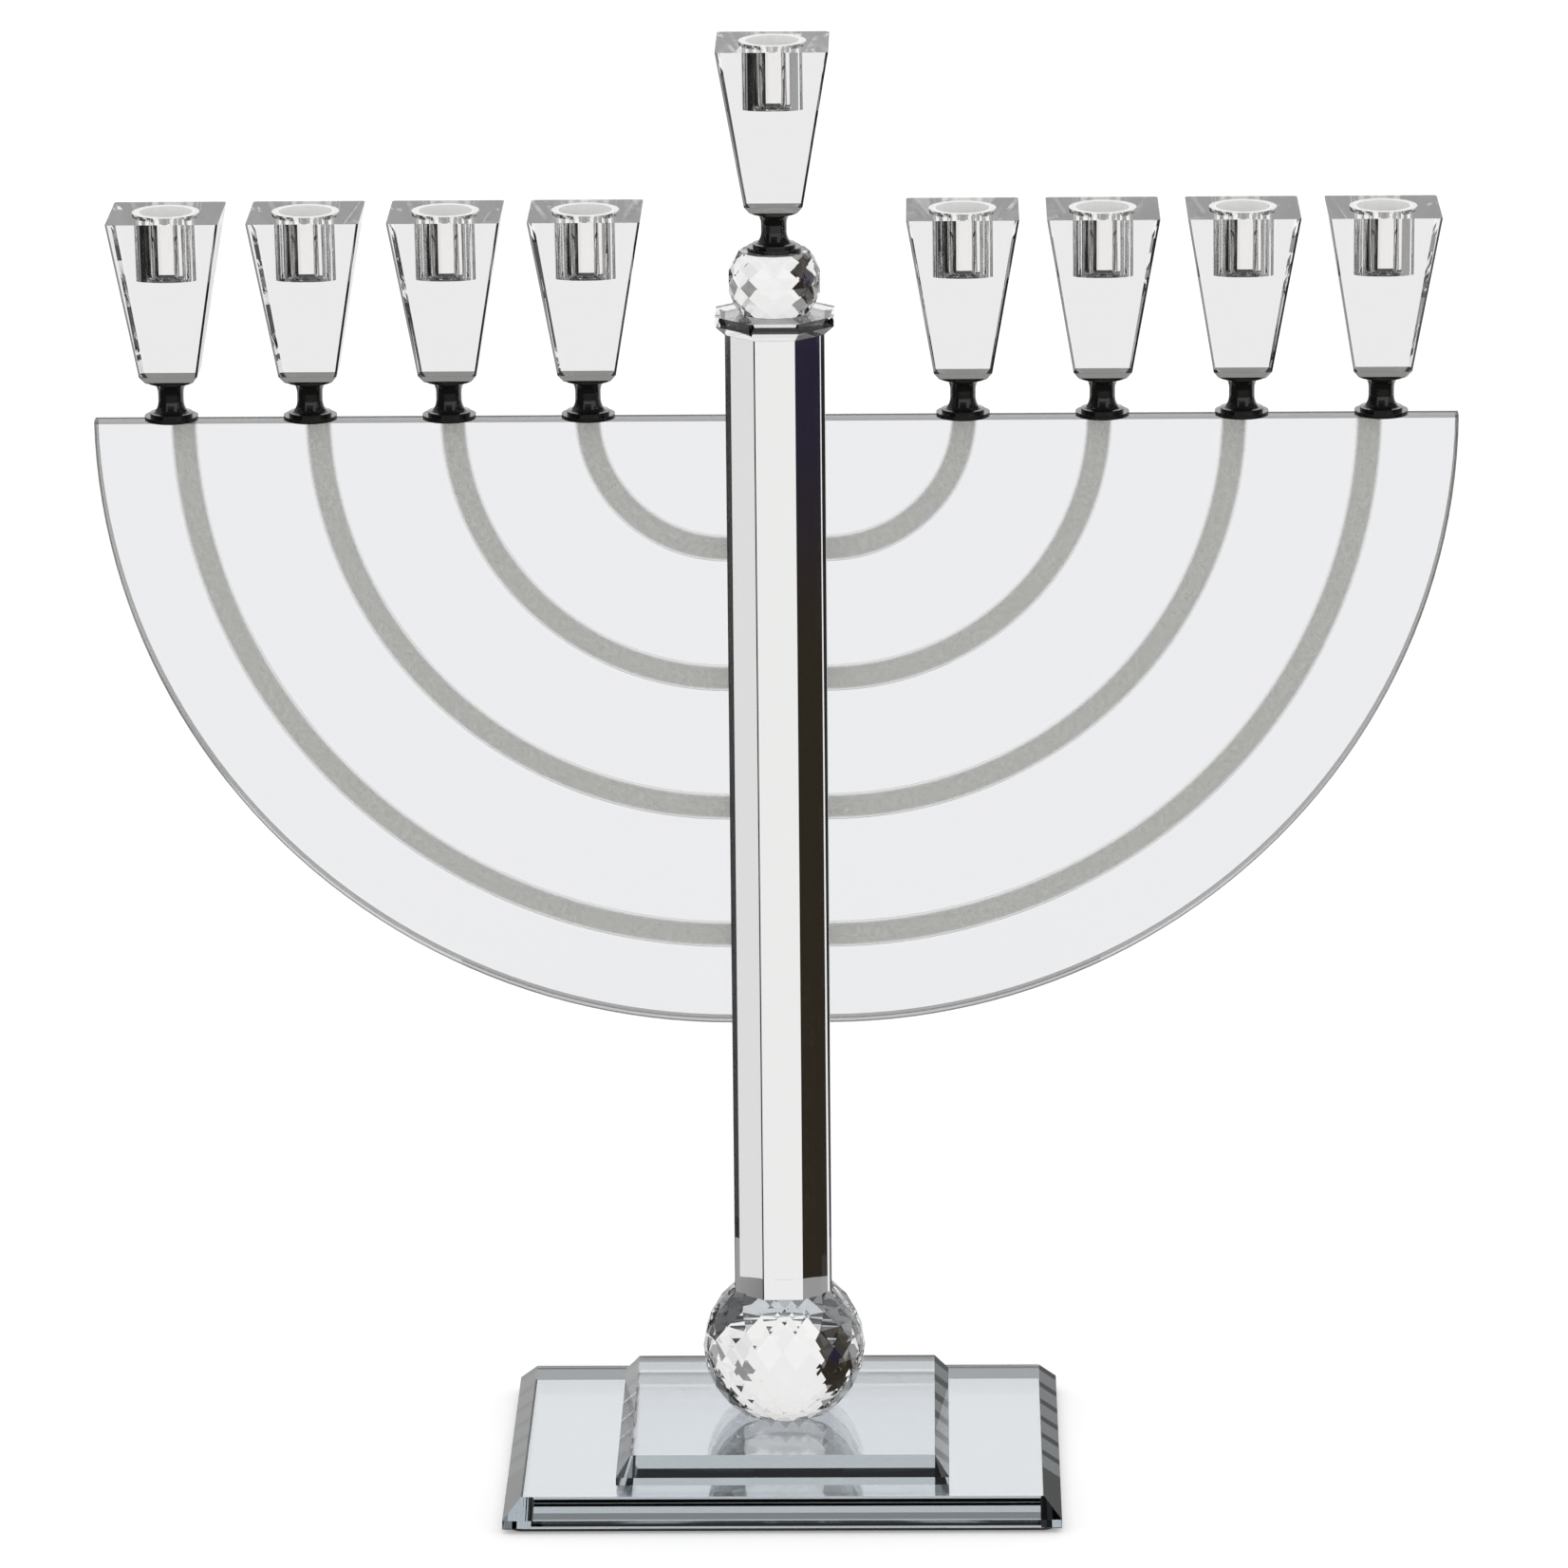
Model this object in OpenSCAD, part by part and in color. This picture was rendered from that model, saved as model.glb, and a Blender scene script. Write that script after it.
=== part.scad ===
// Nine-light crystal menorah: a stepped mirror-glass base, a faceted ball, an octagonal
// column with two quarter-disc arm panels, and nine flared square candle holders.
// Origin: centre of the underside. +X to the right arm, +Y to the back, +Z up.

/* [Base] */
// Width of the lower slab
lower_w = 124.5; // [110:0.5:140]
// Depth of the lower slab
lower_d = 94.5; // [80:0.5:100]
// Width of the bevel round the lower slab, seen from above
lower_bevel_w = 4; // [2:0.5:6]
// Width of the upper slab
upper_w = 74.5; // [66:0.5:90]
// Depth of the upper slab
upper_d = 72.5; // [60:0.5:76]
// Width of the bevel round the upper slab, seen from above
upper_bevel_w = 3.2; // [2:0.1:6]
// Thickness of each slab
slab_t = 6; // [5:0.5:10]
// Height of the slabs' bevels
bevel_h = 4.2; // [2:0.1:4.5]
// Thickness of the felt pad under the base
pad_t = 1; // [0.8:0.1:2]

/* [Column] */
// Radius of the large faceted ball
base_ball_r = 18.3; // [16:0.1:20]
// Height of the large ball between its two flats
base_ball_h = 28.8; // [24:0.5:30]
// Width of the octagonal column across its flats
column_af = 21.8; // [18:0.1:24]
// Length of the column
column_h = 221; // [200:1:240]
// Width of the octagonal collar across its flats
collar_af = 26; // [25:0.5:32]
// Height of the collar's upright edge
collar_edge_h = 2.2; // [1:0.1:4]
// Height of the collar's bevel below that edge
collar_bevel_h = 2; // [1:0.1:4]
// Radius of the small faceted ball
top_ball_r = 10.3; // [9:0.1:12]
// Height of the small ball between its two flats
top_ball_h = 13.7; // [12:0.1:16]

/* [Arms] */
// Radius of each quarter-disc panel
panel_r = 139; // [136:0.5:150]
// Thickness of the panels
panel_t = 5; // [4:0.5:8]
// Distance from the top of the column down to the panels' top edge
panel_drop = 19.3; // [10:0.1:30]
// Width of an engraved branch
branch_w = 5.9; // [4:0.1:8]
// Depth of the engraving in the panel's back face
branch_depth = 0.4; // [0.2:0.1:1]
// Radius of the smallest branch, on its centre line
branch_first_r = 30.5; // [28:0.5:32]
// Distance from one branch to the next
branch_pitch = 29.7; // [27:0.1:30]

/* [Candle holders] */
// Distance from the menorah's axis to the first stem
stem_first_x = 41.2; // [38:0.1:44]
// Distance from one stem to the next
stem_pitch = 30.6; // [28:0.1:31]
// Height of a stem
stem_h = 9.1; // [9:0.1:12]
// Width of a holder at its top
holder_top_w = 24.6; // [22:0.1:26]
// Width of a holder at its foot
holder_foot_w = 12.8; // [12:0.1:16]
// Height of a holder
holder_h = 37; // [30:0.5:45]
// Width of the small flats ground along a holder's four long edges
holder_flat = 0.7; // [0.3:0.1:1]

/* [Candle cups] */
// Radius of the bore that holds a candle
cup_bore_r = 5.9; // [5.5:0.1:6.4]
// Depth of that bore
cup_bore_depth = 13; // [11:0.5:15]
// Wall of a candle cup
cup_wall = 0.6; // [0.5:0.1:1]
// Thickness of a candle cup's floor
cup_floor = 0.8; // [0.6:0.1:1.5]
// How far a candle cup's rim reaches out over its wall
cup_rim_w = 0.9; // [0.4:0.1:1]
// Thickness of that rim
cup_rim_t = 0.4; // [0.3:0.1:1]

/* [Fits] */
// Thickness of the clear glue line between glued pieces
glue = 0.04; // [0.02:0.01:0.1]
// Thickness of the mirror backing under the lower slab
backing_t = 0.15; // [0.1:0.05:0.3]
// Gap round a candle cup in its socket
cup_gap = 0.1; // [0.05:0.05:0.3]

/* [Hidden] */
ARMS = ["left", "right"];
PER_ARM = 4; // candle holders on each arm
ROUND = 96; // segments of a round surface
PANEL_ROUND = 180; // segments of a panel's outline
EPS = 0.01;

// Heights, from the table up: each glued piece stands on the glue line over the one below
lower_z = pad_t + backing_t + glue;
upper_z = lower_z + slab_t + glue;
base_ball_z = upper_z + slab_t + glue;
column_z = base_ball_z + base_ball_h + glue;
collar_z = column_z + column_h + glue;
collar_h = collar_edge_h + collar_bevel_h;
top_ball_z = collar_z + collar_h + glue;
middle_stem_z = top_ball_z + top_ball_h + glue;
panel_top_z = column_z + column_h - panel_drop;
arm_stem_z = panel_top_z + glue;
panel_x = column_af / 2 + glue; // a panel's inner edge, and the centre of its arcs

// Lights as [name, x, height of the stem's foot]; the shamash is the middle one
LIGHTS = concat(
    [for (arm = ARMS, i = [1:PER_ARM]) [str(arm, "_", i), light_x(arm, i), arm_stem_z]],
    [["shamash", 0, middle_stem_z]]
);
FIXED = [
    "base_pad", "mirror_backing", "lower_slab", "upper_slab", "base_ball",
    "column", "collar", "top_ball", "left_panel", "right_panel"
];

function side(arm) = arm == "left" ? -1 : 1;
function light_x(arm, i) = side(arm) * (stem_first_x + (i - 1) * stem_pitch);

// Felt pad
pad_inset = 1.5;
pad_corner_r = 3;

// Facets: sides round each ball, and bands from flat to flat
base_ball_sides = 18;
base_ball_bands = 8;
top_ball_sides = 12;
top_ball_bands = 6;

// Small ground edges
panel_edge = 0.5;
foot_bevel_w = 1.2;
foot_bevel_h = 1.6;

// Turned stem: a thin flange, a step, a flared foot, a waist, a flared lip and a top disc
stem_flange_r = 5.9;
stem_flange_t = 0.9;
stem_step_r = 4.7;
stem_step_z = 1.6;
stem_foot_r = 4.4;
stem_waist_r = 2.8;
stem_waist_z = 4.2;
stem_neck_z = stem_h - 3.2;
stem_lip_r = 4.7;
stem_disc_r = 5.2;
stem_disc_t = 0.65;

// Candle cup and its socket
cup_r = cup_bore_r + cup_wall;
cup_h = cup_bore_depth + cup_floor;
cup_corner_r = 1.6;
socket_r = cup_r + cup_gap;
socket_depth = cup_h - cup_rim_t + 2 * cup_gap;

// Bar along Y with the given section in X and Z
module bar(section, length) {
    translate([0, length / 2, 0])
        rotate([90, 0, 0])
            linear_extrude(length)
                polygon(section);
}

// The outline of half-width [width, height] pairs from the bottom up, mirrored about x = 0
function mirrored(half) = concat(
    [for (p = half) [p[0], p[1]]],
    [for (i = [len(half) - 1:-1:0]) [-half[i][0], half[i][1]]]
);

// Convex ball between two flats: triangular facets between staggered rings of corners
module faceted_ball(r, h, sides, bands) {
    edge_lat = asin(h / 2 / r);
    corners = [
        for (i = [0:bands], j = [0:sides - 1])
            let (lat = edge_lat * (2 * i / bands - 1), turn = 360 / sides * (j + (i % 2) / 2))
                [r * cos(lat) * cos(turn), r * cos(lat) * sin(turn), h / 2 + r * sin(lat)]
    ];
    function corner(i, j) = i * sides + j % sides;
    facets = [
        for (i = [0:bands - 1], j = [0:sides - 1], upper = [false, true])
            let (lean = i % 2) // which way the ring above is turned
                upper
                    ? [corner(i, j + 1 - lean), corner(i + 1, j), corner(i + 1, j + 1)]
                    : [corner(i, j), corner(i + 1, j + lean), corner(i, j + 1)]
    ];
    bottom = [for (j = [0:sides - 1]) corner(0, j)];
    top = [for (j = [sides - 1:-1:0]) corner(bands, j)];
    polyhedron(corners, concat([bottom, top], facets));
}

module octagon(af, h) {
    rotate([0, 0, 22.5]) cylinder(h = h, d = af / cos(22.5), $fn = 8);
}

// Rectangular glass slab, bevelled round its top face
module bevelled_slab(w, d, bevel_w) {
    function section(width) = mirrored([
        [width / 2, 0], [width / 2, slab_t - bevel_h], [width / 2 - bevel_w, slab_t]
    ]);
    intersection() {
        bar(section(w), 2 * d);
        rotate([0, 0, 90]) bar(section(d), 2 * w);
    }
}

module base_pad() {
    w = lower_w - 2 * pad_inset;
    d = lower_d - 2 * pad_inset;
    color("dimgray")
        linear_extrude(pad_t)
            union() {
                square([w, d - 2 * pad_corner_r], center = true);
                square([w - 2 * pad_corner_r, d], center = true);
                for (x = [-1, 1], y = [-1, 1])
                    translate([x * (w / 2 - pad_corner_r), y * (d / 2 - pad_corner_r)])
                        circle(pad_corner_r, $fn = ROUND / 2);
            }
}

module mirror_backing() {
    color("silver")
        translate([-lower_w / 2, -lower_d / 2, pad_t]) cube([lower_w, lower_d, backing_t]);
}

module lower_slab() {
    color("lightsteelblue", 0.7)
        translate([0, 0, lower_z]) bevelled_slab(lower_w, lower_d, lower_bevel_w);
}

module upper_slab() {
    color("lightsteelblue", 0.7)
        translate([0, 0, upper_z]) bevelled_slab(upper_w, upper_d, upper_bevel_w);
}

module base_ball() {
    color("whitesmoke", 0.6)
        translate([0, 0, base_ball_z])
            faceted_ball(base_ball_r, base_ball_h, base_ball_sides, base_ball_bands);
}

module column() {
    color("whitesmoke", 0.6)
        translate([0, 0, column_z]) octagon(column_af, column_h);
}

// Octagonal plate that narrows to the column's width below
module collar() {
    half = mirrored([
        [column_af / 2, 0], [collar_af / 2, collar_bevel_h], [collar_af / 2, collar_h]
    ]);
    color("whitesmoke", 0.6)
        translate([0, 0, collar_z])
            intersection_for (turn = [0:45:135])
                rotate([0, 0, turn]) bar(half, 2 * collar_af);
}

module top_ball() {
    color("whitesmoke", 0.6)
        translate([0, 0, top_ball_z])
            faceted_ball(top_ball_r, top_ball_h, top_ball_sides, top_ball_bands);
}

// Quarter disc in X and Z whose corner is at the origin, lying towards +X and -Z,
// with small ground edges and the branches engraved in its back
module panel_blank() {
    flat = panel_t / 2;
    inner = flat - panel_edge;
    rim = panel_r - panel_edge;
    difference() {
        intersection() {
            rotate([90, 0, 0])
                rotate_extrude($fn = PANEL_ROUND)
                    polygon([
                        [0, -flat], [rim, -flat], [panel_r, -inner],
                        [panel_r, inner], [rim, flat], [0, flat]
                    ]);
            translate([panel_r, 0, -panel_r - 1])
                rotate([0, 0, 90])
                    bar(mirrored([
                        [flat, 0], [flat, panel_r + 1 - panel_edge], [inner, panel_r + 1]
                    ]), 2 * panel_r);
        }
        for (i = [0:PER_ARM - 1])
            translate([0, flat - branch_depth, 0])
                branch(branch_first_r + i * branch_pitch);
    }
}

// Ring that cuts one branch
module branch(r) {
    rotate([-90, 0, 0])
        difference() {
            cylinder(h = 1, r = r + branch_w / 2, $fn = PANEL_ROUND);
            translate([0, 0, -EPS])
                cylinder(h = 1 + 2 * EPS, r = r - branch_w / 2, $fn = PANEL_ROUND);
        }
}

module left_panel() {
    color("lavender", 0.6)
        translate([-panel_x, 0, panel_top_z]) mirror([1, 0, 0]) panel_blank();
}

module right_panel() {
    color("lavender", 0.6)
        translate([panel_x, 0, panel_top_z]) panel_blank();
}

// Points of a quarter of an ellipse, from one point to another
function fillet(from, to, level_first) = [
    for (a = [0:15:90])
        let (u = level_first ? sin(a) : 1 - cos(a), v = level_first ? 1 - cos(a) : sin(a))
            [from[0] + (to[0] - from[0]) * u, from[1] + (to[1] - from[1]) * v]
];

module stem(x, z) {
    outline = concat(
        [
            [0, 0], [stem_flange_r, 0], [stem_flange_r, stem_flange_t],
            [stem_step_r, stem_flange_t], [stem_step_r, stem_step_z]
        ],
        fillet([stem_foot_r, stem_step_z], [stem_waist_r, stem_waist_z], true),
        fillet([stem_waist_r, stem_neck_z], [stem_lip_r, stem_h - stem_disc_t], false),
        [[stem_disc_r, stem_h - stem_disc_t], [stem_disc_r, stem_h], [0, stem_h]]
    );
    color("#1c1b1b")
        translate([x, 0, z])
            rotate_extrude($fn = ROUND) polygon(outline);
}

// Flared square glass block with a round blind socket in its top
module holder(x, z) {
    // The section across two opposite sides, moved in or out for the ground corners
    function section(stretch, trim) = mirrored([
        [(holder_foot_w / 2 - foot_bevel_w) * stretch - trim, 0],
        [holder_foot_w / 2 * stretch - trim, foot_bevel_h],
        [holder_top_w / 2 * stretch - trim, holder_h]
    ]);
    color("whitesmoke", 0.6)
        translate([x, 0, z + stem_h + glue])
            difference() {
                intersection() {
                    for_sides(0) bar(section(1, 0), 2 * holder_top_w);
                    for_sides(45) bar(section(sqrt(2), holder_flat / 2), 2 * holder_top_w);
                }
                translate([0, 0, holder_h - socket_depth])
                    cylinder(h = socket_depth + 1, r = socket_r, $fn = ROUND);
            }
}

// What is common to a bar and the same bar a quarter turn on
module for_sides(turn) {
    intersection_for (quarter = [0, 90])
        rotate([0, 0, turn + quarter]) children();
}

// Metal cup that hangs by its rim in a holder's socket and holds the candle
module cup(x, z) {
    top = cup_rim_t;
    bottom = cup_rim_t - cup_h;
    outline = concat(
        [[0, bottom]],
        fillet([cup_r - cup_corner_r, bottom], [cup_r, bottom + cup_corner_r], true),
        [
            [cup_r, 0], [cup_r + cup_rim_w, 0], [cup_r + cup_rim_w, top],
            [cup_bore_r, top], [cup_bore_r, bottom + cup_floor], [0, bottom + cup_floor]
        ]
    );
    color("gainsboro")
        translate([x, 0, z + stem_h + glue + holder_h])
            rotate_extrude($fn = ROUND) polygon(outline);
}

base_pad();
mirror_backing();
lower_slab();
upper_slab();
base_ball();
column();
collar();
top_ball();
left_panel();
right_panel();
for (l = LIGHTS) {
    stem(l[1], l[2]);
    holder(l[1], l[2]);
    cup(l[1], l[2]);
}
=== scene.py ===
"""Looks of a nine-light crystal menorah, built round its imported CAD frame.

Metres, +Z up, the front towards -Y, the origin under the middle of the base.
"""
import math

import bmesh
import bpy
from mathutils import Matrix, Vector


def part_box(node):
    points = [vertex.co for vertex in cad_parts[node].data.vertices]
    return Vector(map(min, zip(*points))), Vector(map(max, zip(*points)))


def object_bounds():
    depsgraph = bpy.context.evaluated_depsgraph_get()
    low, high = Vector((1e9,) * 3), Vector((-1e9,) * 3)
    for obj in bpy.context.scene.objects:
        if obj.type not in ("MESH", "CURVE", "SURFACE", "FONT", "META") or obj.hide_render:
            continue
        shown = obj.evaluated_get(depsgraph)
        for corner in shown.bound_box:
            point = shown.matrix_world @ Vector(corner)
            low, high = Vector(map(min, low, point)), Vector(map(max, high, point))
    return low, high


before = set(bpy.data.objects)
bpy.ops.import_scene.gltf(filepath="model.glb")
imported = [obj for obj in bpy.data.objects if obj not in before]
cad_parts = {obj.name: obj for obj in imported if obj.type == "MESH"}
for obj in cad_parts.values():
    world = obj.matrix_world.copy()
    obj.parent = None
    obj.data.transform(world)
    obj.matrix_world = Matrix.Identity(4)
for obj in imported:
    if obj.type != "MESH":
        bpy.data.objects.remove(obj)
cad_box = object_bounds()

MM = 0.001
ARMS = {"left": -1, "right": 1}
PER_ARM = 4
LIGHTS = [f"{arm}_{i}" for arm in ARMS for i in range(1, PER_ARM + 1)] + ["shamash"]

# The engraved branches, as the CAD has them
BRANCH_FIRST_R = 30.5 * MM
BRANCH_PITCH = 29.7 * MM
BRANCH_WIDTH = 5.9 * MM
BRANCH_DEPTH = 0.4 * MM
FROST_INNER = 0.7  # the frosting fades out between these two shares of a branch's half width
FROST_OUTER = 1.05

# A candle cup's bore as a share of its width over the rim, with half its wall
CUP_BORE_SHARE = 0.42
# A little less than a candle cup's floor as a share of its height
CUP_FLOOR_SHARE = 0.05
# A holder's socket as a share of its width, with a little over
HOLDER_SOCKET_SHARE = 0.32
# A holder's foot bevel as a share of its height
HOLDER_FOOT_SHARE = 0.044

# How far a face's normal leans along an axis, from 0 to 1
SQUARE_ON = 0.9  # more than this is a flat face across the axis
GROUND_EDGE = 0.4  # between this and square on is a small ground edge
CORNER_FLAT = 0.3  # the product of the two level parts is more than this on a corner flat

GLASS_IOR = 1.52
PANE_IOR = 1.5
CHROME_GRAIN = (60.0, 60.0, 4000.0)  # turning marks run round the piece, so they are fine in Z
NICKEL_GRAIN = (40.0, 40.0, 3000.0)


# ---------------------------------------------------------------- camera

CAMERA_DISTANCE = 1.9
CAMERA_AZIMUTH = math.radians(1.04)  # the camera stands a little to the right
CAMERA_ELEVATION = math.radians(15.8)
CAMERA_ROLL = math.radians(-0.524)
VIEW_WIDTH = 0.349  # what the frame takes in at the object
AIM_RIGHT = 1.1 * MM  # from the middle of the object to what the camera looks at
AIM_DOWN = 4.1 * MM
SENSOR = 36.0


def make_camera():
    low, high = cad_box
    target = Vector(((low.x + high.x) / 2 + AIM_RIGHT, 0, (low.z + high.z) / 2 - AIM_DOWN))
    across = math.cos(CAMERA_ELEVATION)
    forward = Vector((
        -math.sin(CAMERA_AZIMUTH) * across,
        math.cos(CAMERA_AZIMUTH) * across,
        -math.sin(CAMERA_ELEVATION),
    ))
    level = Vector((math.cos(CAMERA_AZIMUTH), math.sin(CAMERA_AZIMUTH), 0))
    upright = level.cross(forward)
    right = math.cos(CAMERA_ROLL) * level + math.sin(CAMERA_ROLL) * upright
    up = math.cos(CAMERA_ROLL) * upright - math.sin(CAMERA_ROLL) * level
    data = bpy.data.cameras.new("camera")
    data.sensor_width = SENSOR
    data.lens = SENSOR * CAMERA_DISTANCE / VIEW_WIDTH
    data.clip_start, data.clip_end = 0.05, 60
    camera = bpy.data.objects.new("camera", data)
    bpy.context.scene.collection.objects.link(camera)
    turned = Matrix((right, up, -forward)).transposed().to_4x4()
    camera.matrix_world = Matrix.Translation(target - forward * CAMERA_DISTANCE) @ turned
    bpy.context.scene.camera = camera


make_camera()


# ---------------------------------------------------------------- shader helpers

class Tree:
    """A node tree with short calls for the nodes used here. A socket argument may be a number."""

    def __init__(self, owner):
        owner.use_nodes = True
        self.tree = owner.node_tree
        self.tree.nodes.clear()

    def node(self, kind, inputs=(), **settings):
        made = self.tree.nodes.new(kind)
        for name, value in settings.items():
            setattr(made, name, value)
        for name, value in dict(inputs).items():
            self.plug(made.inputs[name], value)
        return made

    def plug(self, socket, value):
        if isinstance(value, bpy.types.NodeSocket):
            self.tree.links.new(value, socket)
        else:
            socket.default_value = value

    def math(self, operation, *values, clamp=False):
        made = self.node("ShaderNodeMath", operation=operation, use_clamp=clamp)
        for socket, value in zip(made.inputs, values):
            self.plug(socket, value)
        return made.outputs[0]

    def ramp(self, value, low, high, out_low=0.0, out_high=1.0):
        """value from low to high becomes out_low to out_high, smoothly and clamped."""
        made = self.node(
            "ShaderNodeMapRange",
            {"Value": value, "From Min": low, "From Max": high, "To Min": out_low, "To Max": out_high},
            interpolation_type="SMOOTHSTEP",
        )
        return made.outputs["Result"]

    def noise(self, vector, scale, detail=3.0, roughness=0.5):
        made = self.node(
            "ShaderNodeTexNoise",
            {"Vector": vector, "Scale": scale, "Detail": detail, "Roughness": roughness},
        )
        return made.outputs["Fac"]

    def bump(self, height, distance, strength=1.0):
        made = self.node(
            "ShaderNodeBump", {"Height": height, "Distance": distance, "Strength": strength}
        )
        return made.outputs["Normal"]

    def mix(self, factor, first, second):
        made = self.node("ShaderNodeMixShader", {"Fac": factor})
        self.plug(made.inputs[1], first)
        self.plug(made.inputs[2], second)
        return made.outputs[0]

    def blend(self, factor, first, second):
        """A colour between two colours."""
        made = self.node("ShaderNodeMix", data_type="RGBA")
        self.plug(made.inputs["Factor"], factor)
        self.plug(made.inputs["A"], first)
        self.plug(made.inputs["B"], second)
        return made.outputs["Result"]

    def place(self):
        return self.node("ShaderNodeTexCoord").outputs["Object"]

    def parts(self, vector):
        """The X, Y and Z of a vector."""
        return self.node("ShaderNodeSeparateXYZ", {"Vector": vector}).outputs

    def box_place(self):
        """The place in the piece's own box, from 0 to 1 along X, Y and Z."""
        return self.parts(self.node("ShaderNodeTexCoord").outputs["Generated"])

    def normal(self):
        return self.parts(self.node("ShaderNodeNewGeometry").outputs["Normal"])

    def surface(self, shader):
        self.node("ShaderNodeOutputMaterial", {"Surface": shader})


def rgba(r, g, b):
    return (r, g, b, 1.0)


def grey(tone):
    return rgba(tone, tone, tone)


def new_material(name):
    material = bpy.data.materials.new(name)
    return material, Tree(material)


def without_black_shadow(t, shader, tint):
    """The same shader, but light on its way to another surface passes it as a tinted window."""
    shading = t.node("ShaderNodeLightPath").outputs["Is Shadow Ray"]
    window = t.node("ShaderNodeBsdfTransparent", {"Color": tint}).outputs[0]
    return t.mix(shading, shader, window)


# ---------------------------------------------------------------- materials

def glass_surface(t, tint):
    """Refracting glass with the handling marks of a polished face. The tint may be a socket."""
    marks = t.noise(t.place(), 180.0, 4.0, 0.6)
    glass = t.node("ShaderNodeBsdfPrincipled", {
        "Base Color": tint,
        "IOR": GLASS_IOR,
        "Transmission Weight": 1.0,
        "Roughness": t.ramp(marks, 0.62, 0.8, 0.0, 0.03),
    })
    t.surface(without_black_shadow(t, glass.outputs[0], rgba(0.93, 0.94, 0.95)))


def crystal_material():
    """Clear cut crystal."""
    material, t = new_material("cut_crystal")
    glass_surface(t, rgba(0.99, 0.99, 0.985))
    return material


def holder_material():
    """Clear cut crystal with painted shade: its corner flats and foot bevel are tinted near black,
    darker than its faces.
    """
    material, t = new_material("holder_crystal")
    nx, ny, _ = t.normal()
    slanted = t.math("ABSOLUTE", t.math("MULTIPLY", nx, ny))
    outside = t.math("GREATER_THAN", away_from_middle(t), HOLDER_SOCKET_SHARE)
    corner = t.math("MULTIPLY", t.math("GREATER_THAN", slanted, CORNER_FLAT), outside)
    foot = t.math("LESS_THAN", t.box_place()[2], HOLDER_FOOT_SHARE)
    # Painted shade: the corner flats and the foot bevel get a near black tint, standing in for the
    # dark lines the glass shows there.
    clear = t.blend(corner, rgba(0.985, 0.985, 0.99), rgba(0.10, 0.10, 0.095))
    glass_surface(t, t.blend(foot, clear, rgba(0.10, 0.10, 0.095)))
    return material


def away_from_middle(t):
    """Distance from the piece's upright axis, as a share of its width."""
    gx, gy, _ = t.box_place()
    off_x = t.math("SUBTRACT", gx, 0.5)
    off_y = t.math("SUBTRACT", gy, 0.5)
    return length_of(t, off_x, off_y)


def length_of(t, a, b):
    return t.math("SQRT", t.math("ADD", t.math("POWER", a, 2.0), t.math("POWER", b, 2.0)))


def slab_material():
    """Plate glass for the slabs, clear through its top, and greyer through its edges as painted shade.
    """
    material, t = new_material("plate_glass")
    level = t.math("GREATER_THAN", t.math("ABSOLUTE", t.normal()[2]), SQUARE_ON)
    # Painted shade: faces that aren't level get a grey tint, standing in for the dark band the slab
    # edges show.
    glass_surface(t, t.blend(level, rgba(0.52, 0.57, 0.60), rgba(0.94, 0.953, 0.965)))
    return material


def frosting_cover(t, side, centre_z):
    """How far the frosting hides the glass, from 0 to 1. It covers the engraved branches' floors."""
    place = t.place()
    x, y, z = t.parts(place)
    out_x = t.math("SUBTRACT", t.math("MULTIPLY", x, side), pane_inner_x())
    down_z = t.math("SUBTRACT", centre_z, z)
    past_first = t.math("SUBTRACT", length_of(t, out_x, down_z), BRANCH_FIRST_R - BRANCH_PITCH / 2)
    step = t.math("DIVIDE", past_first, BRANCH_PITCH)
    off = t.math("ABSOLUTE", t.math("SUBTRACT", t.math("FRACT", step), 0.5))
    half = BRANCH_WIDTH / BRANCH_PITCH / 2
    band = t.ramp(off, half * FROST_OUTER, half * FROST_INNER)
    inside = t.math("LESS_THAN", step, float(PER_ARM))
    off_floor = t.math("ABSOLUTE", t.math("SUBTRACT", y, pane_back_y() - BRANCH_DEPTH))
    on_floor = t.math("LESS_THAN", off_floor, BRANCH_DEPTH / 2)
    frosted = t.math("MULTIPLY", t.math("MULTIPLY", band, inside), on_floor)
    grain = t.noise(place, 900.0, 4.0, 0.7)
    return t.math("MULTIPLY", frosted, t.ramp(grain, 0.3, 0.7, 0.82, 0.97))


def clear_pane(t):
    """A parallel sheet of glass, greyer at its edges as painted shade. What shows through it isn't
    displaced.
    """
    _, ny, nz = t.normal()
    facing = t.math("ABSOLUTE", ny)
    ground = t.math("GREATER_THAN", facing, GROUND_EDGE)
    # Painted shade: the edge faces are tinted grey, darker on the small ground bevels and darkest on
    # the top edge, for the dark lines of glass edges.
    side_edge_shade = t.blend(ground, rgba(0.62, 0.625, 0.62), rgba(0.42, 0.42, 0.41))
    edge = t.blend(t.math("GREATER_THAN", nz, SQUARE_ON), side_edge_shade, rgba(0.36, 0.365, 0.36))
    at_edge = t.math("LESS_THAN", facing, SQUARE_ON)
    clear = t.node("ShaderNodeBsdfTransparent", {
        "Color": t.blend(at_edge, rgba(0.90, 0.902, 0.912), edge),
    })
    gloss = t.node("ShaderNodeBsdfGlossy", {"Color": rgba(1, 1, 1), "Roughness": 0.0})
    fresnel = t.node("ShaderNodeFresnel", {"IOR": PANE_IOR}).outputs[0]
    return t.mix(t.math("MULTIPLY", fresnel, 0.5), clear.outputs[0], gloss.outputs[0])


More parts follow.
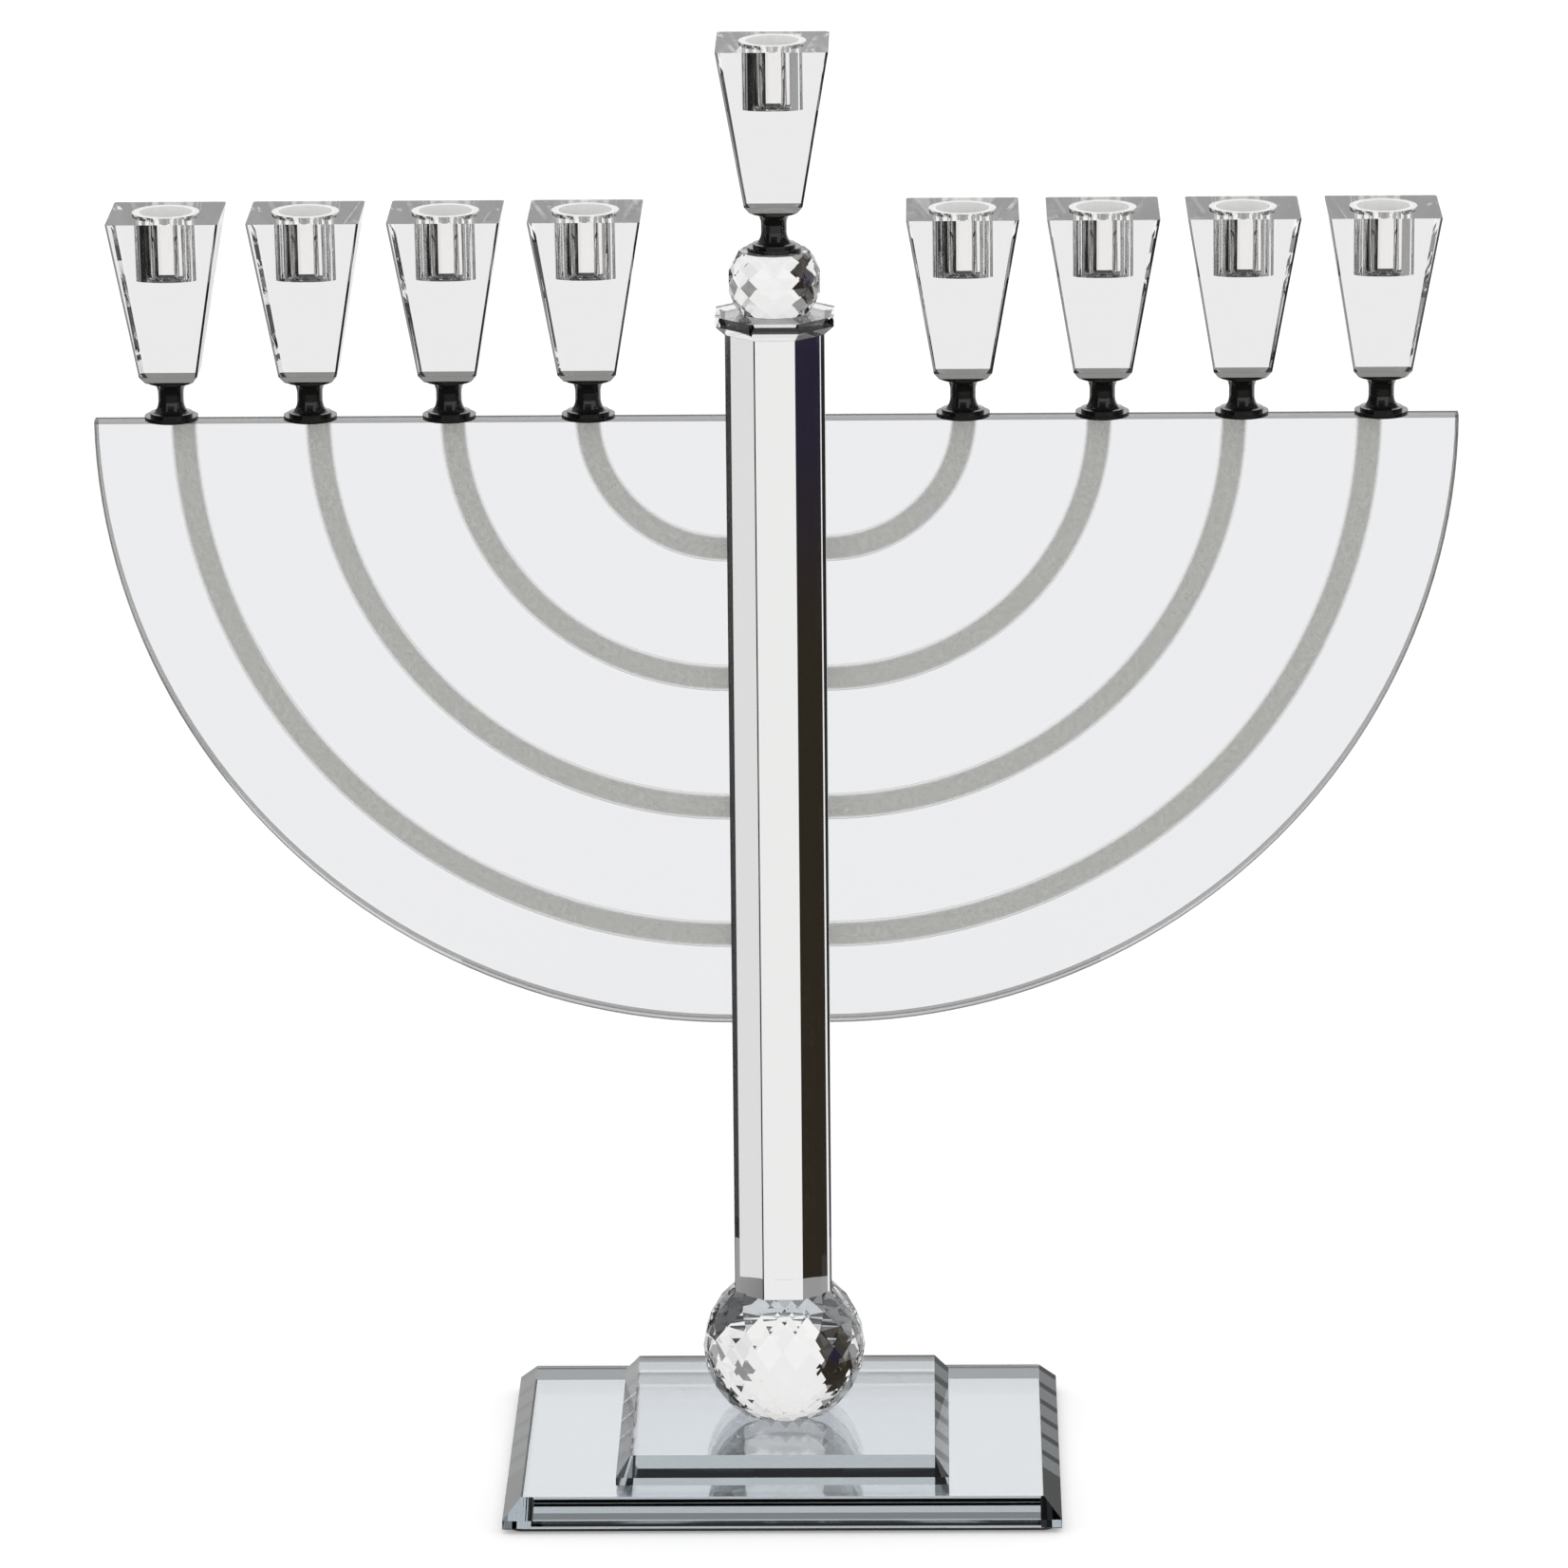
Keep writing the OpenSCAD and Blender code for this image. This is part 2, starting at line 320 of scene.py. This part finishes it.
def frost(t):
    """Glass ground white, which scatters light to both sides."""
    colour = rgba(0.66, 0.665, 0.615)
    near_side = t.node("ShaderNodeBsdfDiffuse", {"Color": colour, "Roughness": 0.5})
    far_side = t.node("ShaderNodeBsdfTranslucent", {"Color": colour})
    return t.mix(0.5, near_side.outputs[0], far_side.outputs[0])


def pane_material(name, side, centre_z):
    """Clear plate glass with frosted branches."""
    material, t = new_material(name)
    t.surface(t.mix(frosting_cover(t, side, centre_z), clear_pane(t), frost(t)))
    return material


def chrome_material():
    """Bright polished metal with hairline turning marks round the cup, satin inside it."""
    material, t = new_material("chrome_cup")
    fine = t.node("ShaderNodeMapping", {"Vector": t.place(), "Scale": CHROME_GRAIN})
    lines = t.noise(fine.outputs[0], 1.0, 2.0)
    over_floor = t.math("GREATER_THAN", t.box_place()[2], CUP_FLOOR_SHARE)
    within_wall = t.math("LESS_THAN", away_from_middle(t), CUP_BORE_SHARE)
    bore = t.math("MULTIPLY", within_wall, over_floor)
    polish = t.ramp(lines, 0.3, 0.7, 0.02, 0.06)
    metal = t.node("ShaderNodeBsdfPrincipled", {
        "Base Color": t.blend(bore, rgba(0.92, 0.91, 0.885), rgba(0.98, 0.978, 0.97)),
        "Metallic": t.math("SUBTRACT", 1.0, t.math("MULTIPLY", bore, 0.85)),
        "Roughness": t.math("ADD", polish, t.math("MULTIPLY", bore, 0.2)),
        "Normal": t.bump(lines, 0.002 * MM, 0.3),
    })
    t.surface(metal.outputs[0])
    return material


def black_metal_material():
    """Glossy black nickel on turned metal."""
    material, t = new_material("black_nickel")
    fine = t.node("ShaderNodeMapping", {"Vector": t.place(), "Scale": NICKEL_GRAIN})
    lines = t.noise(fine.outputs[0], 1.0, 2.0)
    metal = t.node("ShaderNodeBsdfPrincipled", {
        "Base Color": rgba(0.022, 0.021, 0.020),
        "Metallic": 0.75,
        "Roughness": t.ramp(lines, 0.3, 0.7, 0.12, 0.24),
        "Coat Weight": 0.6,
        "Coat Roughness": 0.05,
        "Normal": t.bump(lines, 0.01 * MM, 0.4),
    })
    t.surface(metal.outputs[0])
    return material


def silvering_material():
    """Silver seen through the glass, grey backing paint underneath."""
    material, t = new_material("silvering")
    place = t.place()
    underneath = t.math("LESS_THAN", t.normal()[2], -SQUARE_ON)
    silver = t.node("ShaderNodeBsdfPrincipled", {
        "Base Color": rgba(0.87, 0.885, 0.90),
        "Metallic": 1.0,
        "Roughness": t.ramp(t.noise(place, 60.0), 0.4, 0.8, 0.0, 0.02),
    })
    mottling = t.noise(place, 400.0)
    paint = t.node("ShaderNodeBsdfPrincipled", {
        "Base Color": t.blend(mottling, rgba(0.20, 0.20, 0.21), rgba(0.27, 0.27, 0.28)),
        "Roughness": 0.6,
    })
    t.surface(t.mix(underneath, silver.outputs[0], paint.outputs[0]))
    return material


def felt_material():
    material, t = new_material("felt")
    place = t.place()
    fibres = t.noise(place, 2500.0, 6.0, 0.7)
    patches = t.noise(place, 90.0, 3.0)
    worn = t.math("MULTIPLY", fibres, patches)
    felt = t.node("ShaderNodeBsdfPrincipled", {
        "Base Color": t.blend(worn, rgba(0.03, 0.03, 0.033), rgba(0.10, 0.10, 0.11)),
        "Roughness": 0.95,
        "Sheen Weight": 0.4,
        "Normal": t.bump(fibres, 0.15 * MM, 0.8),
    })
    t.surface(felt.outputs[0])
    return material


def pane_inner_x():
    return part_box("right_panel")[0].x


def pane_back_y():
    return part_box("right_panel")[1].y


def set_material(node, material):
    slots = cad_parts[node].data.materials
    slots.clear()
    slots.append(material)


def dress_frame():
    crystal = crystal_material()
    holder_glass = holder_material()
    plate = slab_material()
    black = black_metal_material()
    chrome = chrome_material()
    panel_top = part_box("right_panel")[1].z
    for node in ("base_ball", "column", "collar", "top_ball"):
        set_material(node, crystal)
    for node in ("lower_slab", "upper_slab"):
        set_material(node, plate)
    set_material("mirror_backing", silvering_material())
    set_material("base_pad", felt_material())
    for arm, side in ARMS.items():
        set_material(f"{arm}_panel", pane_material(f"{arm}_pane", float(side), panel_top))
    for light in LIGHTS:
        set_material(f"stem_{light}", black)
        set_material(f"holder_{light}", holder_glass)
        set_material(f"cup_{light}", chrome)


dress_frame()


# ---------------------------------------------------------------- studio

# What glass and metal see round the object: a pale studio, with cards as (azimuth from, to,
# elevation from, to, colour) in degrees. Azimuth 0 is behind the object and 90 to its right.
# A later card lies over an earlier one.
STUDIO = grey(0.91)
CARDS = [
    (90, 270, -95, -12, grey(0.03)),  # the floor in front
    (-200, 200, -95, -62, grey(0.03)),  # straight down
    (-200, 200, 46, 95, grey(0.045)),  # overhead
    (-35, 35, 46, 68, grey(0.42)),
    (150, 210, 14, 46, grey(0.05)),
    (-45, -22, -40, 13, rgba(0.026, 0.020, 0.013)),
    (-45, -22, -14, -9, rgba(0.020, 0.016, 0.034)),
    (18, 36, -24, -11, grey(0.80)),
    (14, 26, -10, 0, grey(0.30)),
    (28, 125, 13, 50, grey(0.09)),
    (-92, -28, 13, 50, grey(0.33)),
    (-125, -92, 13, 46, grey(0.03)),
    (80, 112, -40, -12, grey(0.02)),
    (-98, -64, -40, -12, grey(0.012)),
    (116, 202, -12, 13, grey(1.0)),
    (-140, -112, -12, 40, grey(0.012)),
    (-112, -60, -12, 13, grey(0.014)),
    (-60, -45, -12, 13, grey(0.25)),
    (45, 116, -12, 13, grey(0.36)),
]
CARD_EDGE = 1.0  # half the width of a card's soft edge


def make_world():
    world = bpy.data.worlds.new("studio")
    bpy.context.scene.world = world
    t = Tree(world)
    x, y, z = t.parts(t.node("ShaderNodeTexCoord").outputs["Generated"])
    azimuth = t.math("DEGREES", t.math("ARCTAN2", x, y))
    elevation = t.math("DEGREES", t.math("ARCSINE", z))
    around = STUDIO
    for first, last, low, high, colour in CARDS:
        aside = t.math("WRAP", t.math("SUBTRACT", azimuth, (first + last) / 2), 180.0, -180.0)
        above = t.math("SUBTRACT", elevation, (low + high) / 2)
        beside = within(t, aside, (last - first) / 2)
        level = within(t, above, (high - low) / 2)
        around = t.blend(t.math("MULTIPLY", beside, level), around, colour)
    path = t.node("ShaderNodeLightPath").outputs
    seen_in_glass = t.math("MAXIMUM", path["Is Glossy Ray"], path["Is Transmission Ray"])
    seen = t.blend(seen_in_glass, rgba(1, 1, 1), around)
    background = t.node("ShaderNodeBackground", {"Color": seen, "Strength": 1.0})
    t.node("ShaderNodeOutputWorld", {"Surface": background.outputs[0]})


def within(t, offset, half):
    """1 where the offset is less than half either way, with a soft edge."""
    return t.ramp(t.math("ABSOLUTE", offset), half + CARD_EDGE, half - CARD_EDGE)


FLOOR_RADIUS = 20.0
FLOOR_DROP = 0.2 * MM  # below the felt, so the two never share a face


def make_floor():
    data = bpy.data.meshes.new("floor")
    mesh = bmesh.new()
    bmesh.ops.create_circle(mesh, cap_ends=True, segments=64, radius=FLOOR_RADIUS)
    mesh.to_mesh(data)
    mesh.free()
    floor = bpy.data.objects.new("floor", data)
    bpy.context.scene.collection.objects.link(floor)
    material, t = new_material("floor_paper")
    paper = t.node("ShaderNodeBsdfDiffuse", {"Color": rgba(0.86, 0.86, 0.86)})
    glow = t.node("ShaderNodeEmission", {"Color": rgba(1, 1, 1), "Strength": 0.22})
    both = t.node("ShaderNodeAddShader")
    t.plug(both.inputs[0], paper.outputs[0])
    t.plug(both.inputs[1], glow.outputs[0])
    t.surface(both.outputs[0])
    data.materials.append(material)
    floor.location.z = -FLOOR_DROP
    floor.visible_transmission = False
    floor.visible_glossy = False


def set_up_paths():
    cycles = bpy.context.scene.cycles
    cycles.max_bounces = 32
    cycles.transmission_bounces = 28
    cycles.glossy_bounces = 12
    cycles.diffuse_bounces = 3
    cycles.transparent_max_bounces = 24
    bpy.context.scene.view_settings.view_transform = "Standard"


make_world()
make_floor()
set_up_paths()
